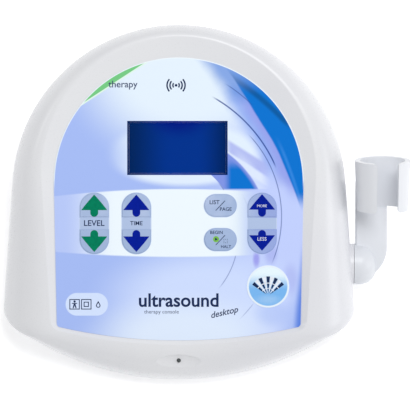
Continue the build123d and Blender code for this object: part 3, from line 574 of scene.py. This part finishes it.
def pieceFromMesh(name, mesh, matrix):
    shape = bmesh.new()
    shape.from_mesh(mesh)
    bmesh.ops.remove_doubles(shape, verts=shape.verts, dist=1e-5)
    bmesh.ops.transform(shape, matrix=matrix, verts=shape.verts)
    bmesh.ops.recalc_face_normals(shape, faces=shape.faces)
    done = bpy.data.meshes.new(name)
    shape.to_mesh(done)
    shape.free()
    piece = bpy.data.objects.new(name, done)
    bpy.context.collection.objects.link(piece)
    return piece


def addWall(shape, outer, inner, low, high):
    # A plate with this outline, open in the middle where an inner outline is given.
    loops = [outer] + ([inner] if inner else [])
    rings = [[[shape.verts.new((u, v, level)) for u, v in loop] for level in (low, high)] for loop in loops]
    count = len(outer)
    for bottom, top in rings:
        for step in range(count):
            after = (step + 1) % count
            shape.faces.new((bottom[step], bottom[after], top[after], top[step]))
    if inner:
        for level in (0, 1):
            for step in range(count):
                after = (step + 1) % count
                shape.faces.new((rings[0][level][step], rings[0][level][after], rings[1][level][after],
                                 rings[1][level][step]))
    else:
        shape.faces.new(rings[0][0])
        shape.faces.new(rings[0][1])


def plates(name, outlines, low, thick, matrix=None):
    # Thin printed or applied shapes: each outline is (outer, inner or None), in millimetres.
    shape = bmesh.new()
    for outer, inner in outlines:
        addWall(shape, outer, inner, low, low + thick)
    mesh = bpy.data.meshes.new(name + "Outline")
    shape.to_mesh(mesh)
    shape.free()
    return pieceFromMesh(name, mesh, matrix or panelMatrix)


def circle(u, v, radius, steps=64):
    turns = [2 * math.pi * step / steps for step in range(steps)]
    return [(u + radius * math.cos(turn), v + radius * math.sin(turn)) for turn in turns]


def box(u, v, width, height):
    half, tall = width / 2, height / 2
    return [(u - half, v - tall), (u + half, v - tall), (u + half, v + tall), (u - half, v + tall)]


def arcBand(u, v, radius, width, start, end, steps=32):
    # A strip bent along part of a circle.
    turns = [math.radians(start + (end - start) * step / steps) for step in range(steps + 1)]
    rims = [[(u + r * math.cos(turn), v + r * math.sin(turn)) for turn in turns]
            for r in (radius - width / 2, radius + width / 2)]
    return rims[0] + rims[1][::-1]


def words(name, text, u, v, level, width, body, finish, slotName, weight=0.0, slant=0.0, turn=0.0):
    # Flat lettering, made a mesh, fitted to its width and then set in place.
    curve = bpy.data.curves.new(name + "Letters", "FONT")
    curve.body = text
    curve.align_x, curve.align_y = "CENTER", "CENTER"
    curve.extrude, curve.offset, curve.shear = lettering["extrude"], weight, slant
    curve.resolution_u = 4
    letters = bpy.data.objects.new(name + "Letters", curve)
    bpy.context.collection.objects.link(letters)
    mesh = bpy.data.meshes.new_from_object(letters.evaluated_get(bpy.context.evaluated_depsgraph_get()))
    bpy.data.objects.remove(letters)
    spread = [point.co.x for point in mesh.vertices]
    fit = width / (max(spread) - min(spread))
    middle = (max(spread) + min(spread)) / 2
    thick = lettering["thickness"] / (2 * lettering["extrude"])
    local = (Matrix.Translation((u, v, level)) @ Matrix.Rotation(math.radians(turn), 4, "Z")
             @ Matrix.Translation((-middle * fit, 0.0, 0.0)) @ Matrix.Diagonal((fit, fit, thick, 1.0)))
    piece = pieceFromMesh(name, mesh, panelMatrix @ local)
    return own(piece, body, finish)


class Recipe(Bench):
    # A Geometry Nodes tree whose named inputs are its sizes.
    def __init__(self, name, sizes):
        super().__init__(bpy.data.node_groups.new(name, "GeometryNodeTree"))
        self.tree.interface.new_socket(name="Geometry", in_out="OUTPUT", socket_type="NodeSocketGeometry")
        self.identifiers = {}
        for label, kind in sizes.items():
            socket = self.tree.interface.new_socket(name=label, in_out="INPUT", socket_type=kind)
            self.identifiers[label] = socket.identifier
        self.entry = self.tree.nodes.new("NodeGroupInput")

    def size(self, label):
        return Value(self, self.entry.outputs[label])

    def end(self, geometry, material):
        solid = self.node("GeometryNodeRealizeInstances", None, {0: geometry})
        coloured = self.node("GeometryNodeSetMaterial", None, {"Geometry": solid, "Material": material})
        self.node("NodeGroupOutput", None, {0: coloured})

    def piece(self, name, values, matrix):
        source = bpy.data.objects.new(name + "Source", bpy.data.meshes.new(name + "Source"))
        bpy.context.collection.objects.link(source)
        modifier = source.modifiers.new("recipe", "NODES")
        modifier.node_group = self.tree
        for label, value in values.items():
            modifier[self.identifiers[label]] = value
        mesh = bpy.data.meshes.new_from_object(source.evaluated_get(bpy.context.evaluated_depsgraph_get()))
        source.modifiers.remove(modifier)
        bpy.data.objects.remove(source)
        return pieceFromMesh(name, mesh, matrix)


def ringRecipe(name, material, shapeKind):
    # Copies of one small solid turned about a centre: wedges for the badge, ribs for the socket's collar.
    lengths = ("Radius", "Step", "First", "Width", "Length", "Height")
    recipe = Recipe(name, {"Count": "NodeSocketInt", **{length: "NodeSocketFloat" for length in lengths}})
    if shapeKind == "wedge":
        solid = recipe.node("GeometryNodeMeshCone", {"fill_type": "NGON"}, {
            "Vertices": 3, "Radius Top": 1.0, "Radius Bottom": 1.0, "Depth": 1.0})
    else:
        solid = recipe.node("GeometryNodeMeshCube", None, {"Size": (1.0, 1.0, 1.0)})
    scale = recipe.node("ShaderNodeCombineXYZ", None, {
        0: recipe.size("Length"), 1: recipe.size("Width"), 2: recipe.size("Height")})
    shift = recipe.node("ShaderNodeCombineXYZ", None, {
        0: recipe.size("Radius"), 2: recipe.size("Height") * 0.5})
    solid = recipe.node("GeometryNodeTransform", None, {
        "Geometry": solid, "Translation": shift, "Scale": scale})
    index = recipe.node("GeometryNodeInputIndex")
    turn = index * recipe.size("Step") + recipe.size("First")
    turned = recipe.node("ShaderNodeCombineXYZ", None, {2: turn})
    points = recipe.node("GeometryNodePoints", None, {"Count": recipe.size("Count")})
    copies = recipe.node("GeometryNodeInstanceOnPoints", None, {
        "Points": points, "Instance": solid, "Rotation": turned})
    recipe.end(copies, material)
    return recipe


def gridRecipe(name, material):
    # Painted shade: thin black crosses, one on each screw head of a rectangle of screws, standing where the
    # crossed recesses would lie in shade.
    recipe = Recipe(name, {"Across": "NodeSocketFloat", "Up": "NodeSocketFloat", "Length": "NodeSocketFloat",
                           "Width": "NodeSocketFloat", "Height": "NodeSocketFloat", "Rows": "NodeSocketInt"})
    corners = recipe.node("GeometryNodeMeshGrid", None, {
        "Size X": recipe.size("Across"), "Size Y": recipe.size("Up"), "Vertices X": 2,
        "Vertices Y": recipe.size("Rows")})
    bars = []
    for first, second in (("Length", "Width"), ("Width", "Length")):
        size = recipe.node("ShaderNodeCombineXYZ", None, {
            0: recipe.size(first), 1: recipe.size(second), 2: recipe.size("Height")})
        bars.append(recipe.node("GeometryNodeMeshCube", None, {"Size": size}))
    cross = recipe.node("GeometryNodeMeshBoolean", {"operation": "UNION"}, {})
    union = cross.socket.node
    for bar in bars:
        recipe.tree.links.new(bar.socket, union.inputs["Mesh 2"])
    copies = recipe.node("GeometryNodeInstanceOnPoints", None, {"Points": corners, "Instance": cross})
    recipe.end(copies, material)
    return recipe


# ---- materials on the CAD nodes


shell = mouldedShell("mouldedShell", shellLook["grey"], shellLook["cool"], shellLook)
holderLook = dict(shellLook, roughness=0.3, grain=700.0)
holderShell = mouldedShell("mouldedHolder", shade(229, 231, 236), shade(220, 223, 229), holderLook)
label = labelPrint()
film = keyFilm()
black = blackMoulding("blackMoulding", 0.5)
zinc = brushedMetal("zincSteel", shade(204, 205, 208), shade(168, 170, 174), 0.26, (1.0, 1.0, 0.3))
resist = solderResist()
rockerMarks = {"up": 5.0, "long": 1.9, "ring": 1.7, "line": 0.35, "blur": 0.06}
rockerLow, rockerHigh = (Vector(corner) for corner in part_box("power_rocker"))
nodeFinishes = {
    "upper_shell": shell, "lower_shell": shell, "front_label": label, "display_window": clearWindow(),
    "display_bezel": zinc, "display_glass": displayGlow(), "control_board": resist, "display_board": resist,
    "light_board": resist, "main_board": resist, "key_switches": black, "panel_screws": zinc,
    "case_screws": zinc, "plate_screws": zinc, "main_board_screws": zinc, "socket_nut": zinc,
    "pivot_washer": zinc, "pivot_screw": zinc, "power_light": smokedLens(), "rubber_feet": blackRubber(),
    "rating_plate": foilPlate(), "heatsink": brushedMetal(
        "finnedAluminium", shade(196, 198, 202), shade(150, 153, 158), 0.34, (0.2, 1.0, 1.0)),
    "rear_plate": brushedMetal("rearAluminium", shade(206, 208, 212), shade(182, 184, 189), 0.36,
                               (0.05, 1.0, 1.0)),
    "power_transistors": black, "output_coil": woundCopper(), "transformer_winding": woundCopper(),
    "transformer_core": laminatedCore(), "capacitors": blackMoulding("capacitorSleeve", 0.28),
    "board_chips": black, "buzzer": black, "mains_inlet": black, "fuse_drawer": black, "fuse": smokedLens(),
    "power_switch": black, "power_rocker": markedRocker(rockerLow, rockerHigh, rockerMarks),
    "socket_insert": blackMoulding("socketInsulator", 0.4),
    "transducer_socket": brushedMetal("nickelCollar", shade(226, 224, 216), shade(196, 194, 186), 0.14,
                                      (1.0, 0.2, 1.0)),
    "applicator_holder": holderShell,
}
for nodeName, node in frame["nodes"].items():
    for slot in node.material_slots:
        slot.material = nodeFinishes.get(nodeName, film)
print("finishes set on", len(frame["nodes"]), "nodes")


# ---- printing on the keys and the label


lettering = {"thickness": 0.04, "keyTop": 0.9, "labelTop": 0.4, "extrude": 0.01}
arrowGreen = printInk("arrowGreen", 0, 127, 92)
arrowBlue = printInk("arrowBlue", 0, 28, 152)
navyInk = printInk("navyInk", 30, 48, 88)
slateInk = printInk("slateInk", 66, 78, 112)
whiteInk = printInk("whiteInk", 236, 242, 252)
limeInk = printInk("limeInk", 128, 196, 84)

# Each arrow by its tip, its base and the tail of its stem
arrows = {"halfWidth": 9.8, "stem": 2.95, "belly": 0.25, "slopeSteps": 8, "bulbSteps": 12,
          "select": {"u": -63.6, "up": (-2.3, -14.0, -19.0), "down": (-45.5, -33.8, -29.0),
                     "ink": arrowGreen},
          "set": {"u": -31.9, "up": (-2.3, -14.0, -19.0), "down": (-45.5, -33.8, -29.0), "ink": arrowBlue},
          "step": {"u": 62.7, "up": (-2.0, -13.6, -18.9), "down": (-44.6, -32.9, -29.0), "ink": arrowBlue}}


def arrowOutline(u, tip, base, tail):
    # A broad arrow whose two slopes swell a little, on a short stem with a round end.
    half, stem, belly = arrows["halfWidth"], arrows["stem"], arrows["belly"]
    along = 1 if tip > base else -1
    slope = []
    for step in range(arrows["slopeSteps"] + 1):
        part = step / arrows["slopeSteps"]
        slope.append((half * (1 - part) + belly * math.sin(math.pi * part), base + (tip - base) * part))
    left = [(-x, y) for x, y in slope[::-1]][1:]
    neck = tail + along * stem
    turns = [math.pi * step / arrows["bulbSteps"] for step in range(arrows["bulbSteps"] + 1)]
    bulb = [(-stem * math.cos(turn), neck - along * stem * math.sin(turn)) for turn in turns]
    return [(u + x, y) for x, y in slope + left + [(-stem, base)] + bulb + [(stem, base)]]


for group in ("select", "set", "step"):
    for way in ("up", "down"):
        keyBody = "key_" + group + "_" + way
        outline = arrowOutline(arrows[group]["u"], *arrows[group][way])
        arrow = plates(group + way.capitalize() + "Arrow", [(outline, None)], lettering["keyTop"],
                       lettering["thickness"])
        own(arrow, keyBody, arrows[group]["ink"])

keyTop, labelTop = lettering["keyTop"], lettering["labelTop"]
padLegends = [
    ("levelLegend", "LEVEL", -63.6, -24.0, labelTop, 15.4, "housing", navyInk, "label"),
    ("timeLegend", "TIME", -31.9, -24.0, labelTop, 9.4, "housing", navyInk, "label"),
    ("moreLegend", "MORE", 62.7, -10.9, keyTop + 0.05, 7.4, "key_step_up", whiteInk, "key"),
    ("lessLegend", "LESS", 62.7, -35.8, keyTop + 0.05, 6.8, "key_step_down", whiteInk, "key"),
    ("listLegend", "LIST", 27.0, -8.2, keyTop, 7.4, "key_prog_menu", navyInk, "key"),
    ("pageLegend", "PAGE", 35.4, -13.4, keyTop, 8.8, "key_prog_menu", navyInk, "key"),
    ("beginLegend", "BEGIN", 28.4, -30.9, keyTop, 9.4, "key_start_stop", navyInk, "key"),
    ("haltLegend", "HALT", 35.6, -41.6, keyTop, 7.6, "key_start_stop", navyInk, "key"),
]
for legend in padLegends:
    words(*legend, weight=0.0 if legend[7] is whiteInk else 0.012)


def inked(name, outlines, keyBody, ink, level=keyTop):
    return own(plates(name, outlines, level, lettering["thickness"]), keyBody, ink)


for keyBody, pieceName, v in (("key_prog_menu", "listSlash", -10.6), ("key_start_stop", "beginSlash", -36.6)):
    slash = [(27.6, v - 3.6), (28.1, v - 3.8), (35.1, v + 3.6), (34.6, v + 3.8)]
    inked(pieceName, [(slash, None)], keyBody, navyInk)
inked("beginDisc", [(circle(28.1, -35.9, 2.3, 40), None)], "key_start_stop", limeInk)
inked("beginMark", [([(27.3, -37.1), (29.4, -35.9), (27.3, -34.7)], None)], "key_start_stop", navyInk,
      keyTop + lettering["thickness"])
haltDots = [(circle(35.3 + x, -37.3 + y, 0.28, 12), None) for x in (-1.3, 0.0, 1.3) for y in (-1.3, 0.0, 1.3)
            if x or y]
inked("haltMark", haltDots, "key_start_stop", navyInk)
seal = {"inner": 0.04, "outer": 0.6, "thickness": 0.03}


def keyOutline(place, sign, grow, steps=24):
    # A whole pill lying down, or the upper or lower part of a standing one.
    u, v, width, height = place["u"], place["v"], place["width"], place["height"]
    radius = min(width, height) / 2
    if sign == 0:
        reach = (width - height) / 2
        turns = [math.pi * (step / steps - 0.5) for step in range(steps + 1)]
        end = radius + grow
        right = [(u + reach + end * math.cos(turn), v + end * math.sin(turn)) for turn in turns]
        return right + [(2 * u - x, 2 * v - y) for x, y in right]
    middle = v + sign * (height / 2 - radius)
    edge = v + sign * (overlay["stripHalf"] - grow)
    turns = [math.pi * step / steps for step in range(steps + 1)]
    wide = radius + grow
    arc = [(u + wide * math.cos(turn), middle + sign * wide * math.sin(turn)) for turn in turns]
    return [(u + wide, edge)] + arc + [(u - wide, edge)]


def keySeals():
    # The soft printed lip that closes the gap round each key.
    rings = []
    for place in padPlaces():
        for sign in (0,) if place["width"] > place["height"] else (1, -1):
            rings.append((keyOutline(place, sign, seal["outer"]), keyOutline(place, sign, seal["inner"])))
    return plates("keySeals", rings, labelTop, seal["thickness"])


own(keySeals(), "housing", film)
print("keys printed")

# Name, text, place, width, ink, weight, slant and turn
titles = [
    ("titleLegend", "ultrasound", 0.0, -82.3, 60.0, navyInk, 0.02, 0.0, 0.0),
    ("secondLegend", "therapy console", -13.0, -90.6, 26.0, slateInk, 0.0, 0.0, 0.0),
    ("desktopLegend", "desktop", 34.5, -91.0, 21.0, navyInk, 0.012, 0.35, 13.0),
    ("cornerLegend", "therapy", -42.0, 80.6, 22.0, slateInk, 0.01, 0.0, 0.0),
]
for name, text, u, v, width, ink, weight, slant, turn in titles:
    words(name, text, u, v, labelTop, width, "housing", ink, "label", weight, slant, turn)

waveMark = {"u": -2.0, "v": 80.0, "dot": 1.0, "radii": (2.4, 4.6, 6.8), "width": 1.1, "spread": 42.0}
waveBands = []
for radius in waveMark["radii"]:
    for facing in (0.0, 180.0):
        waveBands.append((arcBand(waveMark["u"], waveMark["v"], radius, waveMark["width"],
                                  facing - waveMark["spread"], facing + waveMark["spread"], 16), None))
waveBands.append((circle(waveMark["u"], waveMark["v"], waveMark["dot"], 24), None))
own(plates("waveMark", waveBands, labelTop, lettering["thickness"]), "housing", navyInk)

symbols = {"v": -84.9, "side": 7.8, "line": 0.65, "figureU": -78.4, "squareU": -69.6, "dropU": -60.6}


def symbolOutlines():
    side, line, v = symbols["side"], symbols["line"], symbols["v"]
    outlines = []
    for u in (symbols["figureU"], symbols["squareU"]):
        outlines.append((box(u, v, side, side), box(u, v, side - 2 * line, side - 2 * line)))
    u = symbols["squareU"]
    small = side * 0.5
    outlines.append((box(u, v, small, small), box(u, v, small - 2 * line, small - 2 * line)))
    u = symbols["figureU"]
    outlines.append((circle(u, v + 2.1, 0.85, 20), None))
    body = [(-1.5, -2.9), (-0.7, -2.9), (0.0, -0.9), (0.7, -2.9), (1.5, -2.9), (0.65, 0.4),
            (2.0, 0.4), (2.0, 1.0),
            (-2.0, 1.0), (-2.0, 0.4), (-0.65, 0.4)]
    outlines.append(([(u + x, v + y) for x, y in body], None))
    drop = [(0.0, 2.6)] + [(1.7 * math.cos(turn), -0.9 + 1.7 * math.sin(turn)) for turn in
                           [math.radians(30 - 15 * step) for step in range(17)]]
    inner = [(x * 0.6, (y + 0.9) * 0.6 - 0.9) for x, y in drop]
    u = symbols["dropU"]
    outlines.append(([(u + x, v + y) for x, y in drop], [(u + x, v + y) for x, y in inner]))
    return outlines


own(plates("safetySymbols", symbolOutlines(), labelTop, lettering["thickness"]), "housing", navyInk)

badge = {"u": 67.3, "v": -71.5, "radius": 15.95, "field": 14.5, "thickness": 0.35, "wedges": 9,
         "spread": 112.0, "apex": -7.0, "inner": 1.6, "outer": 14.6, "fill": 0.86,
         "arcs": ((9.6, 0.6, 35, 145), (5.6, 0.5, 38, 142))}
badgeDisc = plates("badgeDisc", [(circle(badge["u"], badge["v"], badge["radius"], 96), None)], labelTop,
                   badge["thickness"])
own(badgeDisc, "housing", badgeEnamel())
fan = ringRecipe("badgeFan", navyInk, "wedge")
fanLevel = labelTop + badge["thickness"]
fanPlace = panelMatrix @ Matrix.Translation((badge["u"], badge["v"] + badge["apex"], fanLevel))
fanStep = math.radians(badge["spread"] / badge["wedges"])
# A three cornered cone spans from one length inwards to half a length outwards
wedgeLength = (badge["outer"] - badge["inner"]) / 1.5
wedgeWidth = badge["outer"] * math.tan(fanStep / 2) * badge["fill"] / math.sin(math.radians(60))
fanFirst = math.radians(90) - fanStep * (badge["wedges"] - 1) / 2
darkFan = {"Count": (badge["wedges"] + 1) // 2, "Radius": badge["inner"] + wedgeLength, "Step": fanStep * 2,
           "First": fanFirst, "Width": wedgeWidth, "Length": -wedgeLength, "Height": lettering["thickness"]}
paleFan = dict(darkFan, Count=badge["wedges"] // 2, First=fanFirst + fanStep)
own(fan.piece("badgeWedges", darkFan, fanPlace), "housing", navyInk)
own(fan.piece("badgeRays", paleFan, fanPlace), "housing", whiteInk)
fanMiddle = (badge["u"], badge["v"] + badge["apex"])
own(plates("badgeArc", [(arcBand(*fanMiddle, *arc), None) for arc in badge["arcs"]],
           fanLevel + lettering["thickness"], lettering["thickness"]), "housing", whiteInk)
print("label printed")


# ---- fittings at the back


collar = {"ribs": 36, "radius": 11.6, "width": 0.9, "length": 0.8, "height": 1.7}
socketLow, socketHigh = (Vector(corner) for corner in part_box("transducer_socket"))
socketMiddle = Vector(((socketLow.x + socketHigh.x) / 2, plateHigh.y, (socketLow.z + socketHigh.z) / 2))
collarPlace = placeMatrix(Vector((-1, 0, 0)), Vector((0, 0, 1)), Vector((0, 1, 0)), socketMiddle)
collarRibs = ringRecipe("collarRibs", zinc, "rib").piece("collarRibs", {
    "Count": collar["ribs"], "Radius": collar["radius"], "Step": 2 * math.pi / collar["ribs"], "First": 0.0,
    "Width": collar["width"], "Length": collar["length"], "Height": collar["height"]}, collarPlace)
own(collarRibs, "housing", nodeFinishes["transducer_socket"])

screws = {"across": 103.0, "up": 41.0, "head": 1.8, "length": 3.2, "width": 0.7, "depth": 0.08}
# Painted shade: the black crosses stand in for the shaded recesses of the screw heads.
crossRecipe = gridRecipe("screwCrosses", black)
crossSizes = {"Across": screws["across"], "Up": screws["up"], "Length": screws["length"],
              "Width": screws["width"], "Height": screws["depth"], "Rows": 2}
platePlace = Matrix.Translation((0, 0, screws["head"]))
own(crossRecipe.piece("plateScrewRecessShade", crossSizes, rearMatrix @ platePlace), "housing", black)
inletScrews = {"pitch": 40.0, "across": 27.0, "up": -1.0, "level": 4.3}
inletSizes = dict(crossSizes, Across=inletScrews["pitch"], Up=0.0, Rows=1)
inletPlace = Matrix.Translation((inletScrews["across"], inletScrews["up"], inletScrews["level"]))
own(crossRecipe.piece("inletScrewRecessShade", inletSizes, rearMatrix @ inletPlace), "housing", black)
print("fittings made")


# ---- stage, light and camera


stageLook = {"floorSize": 6.0, "floor": shade(252, 252, 252), "glow": 0.36, "world": 0.42,
             "aim": (0.0, 0.0, 0.05)}


def paleFloor():
    paper = Finish("paleFloor")
    fibre = paper.noise(40.0, 3.0)
    return paper.principled({"Base Color": paper.mix(fibre, stageLook["floor"], shade(249, 249, 250)),
                             "Roughness": 0.9, "Specular IOR Level": 0.1, "Emission Color": (1, 1, 1, 1),
                             "Emission Strength": stageLook["glow"]})


floorMesh = bpy.data.meshes.new("floor")
half = stageLook["floorSize"] / 2
floorCorners = [(-half, -half, 0), (half, -half, 0), (half, half, 0), (-half, half, 0)]
floorMesh.from_pydata(floorCorners, [], [(0, 1, 2, 3)])
floor = bpy.data.objects.new("floor", floorMesh)
floor.data.materials.append(paleFloor())
bpy.context.collection.objects.link(floor)

world = bpy.data.worlds.new("studio")
world.use_nodes = True
world.node_tree.nodes["Background"].inputs["Color"].default_value = (1.0, 1.0, 1.0, 1.0)
world.node_tree.nodes["Background"].inputs["Strength"].default_value = stageLook["world"]
bpy.context.scene.world = world

# Each light: its name, place, side in metres and power in watts
softBoxes = [("rightBox", (1.9, -0.4, 0.9), 0.9, 9.0), ("leftStrip", (-1.5, 0.2, 1.5), 0.4, 3.6),
             ("topBox", (0.45, 0.25, 2.8), 1.2, 39.0)]
for boxName, place, size, watts in softBoxes:
    lamp = bpy.data.lights.new(boxName, "AREA")
    lamp.energy, lamp.size = watts, size
    light = bpy.data.objects.new(boxName, lamp)
    light.location = place
    beam = Vector(stageLook["aim"]) - Vector(place)
    light.rotation_euler = beam.to_track_quat("-Z", "Y").to_euler()
    bpy.context.collection.objects.link(light)

view = {"u": 22.03, "v": -12.4, "width": 0.3132, "distance": 4.0, "sensor": 36.0}
cameraData = bpy.data.cameras.new("camera")
cameraData.sensor_width = view["sensor"]
cameraData.lens = view["sensor"] * view["distance"] / view["width"]
camera = bpy.data.objects.new("camera", cameraData)
target = panelMatrix @ Vector((view["u"], view["v"], 0.0))
facing = Matrix((across, upSlope, outward)).transposed().to_4x4()
camera.matrix_world = Matrix.Translation(target + outward * view["distance"]) @ facing
bpy.context.collection.objects.link(camera)
bpy.context.scene.camera = camera
bpy.context.scene.view_settings.view_transform = "Standard"
print("stage set")
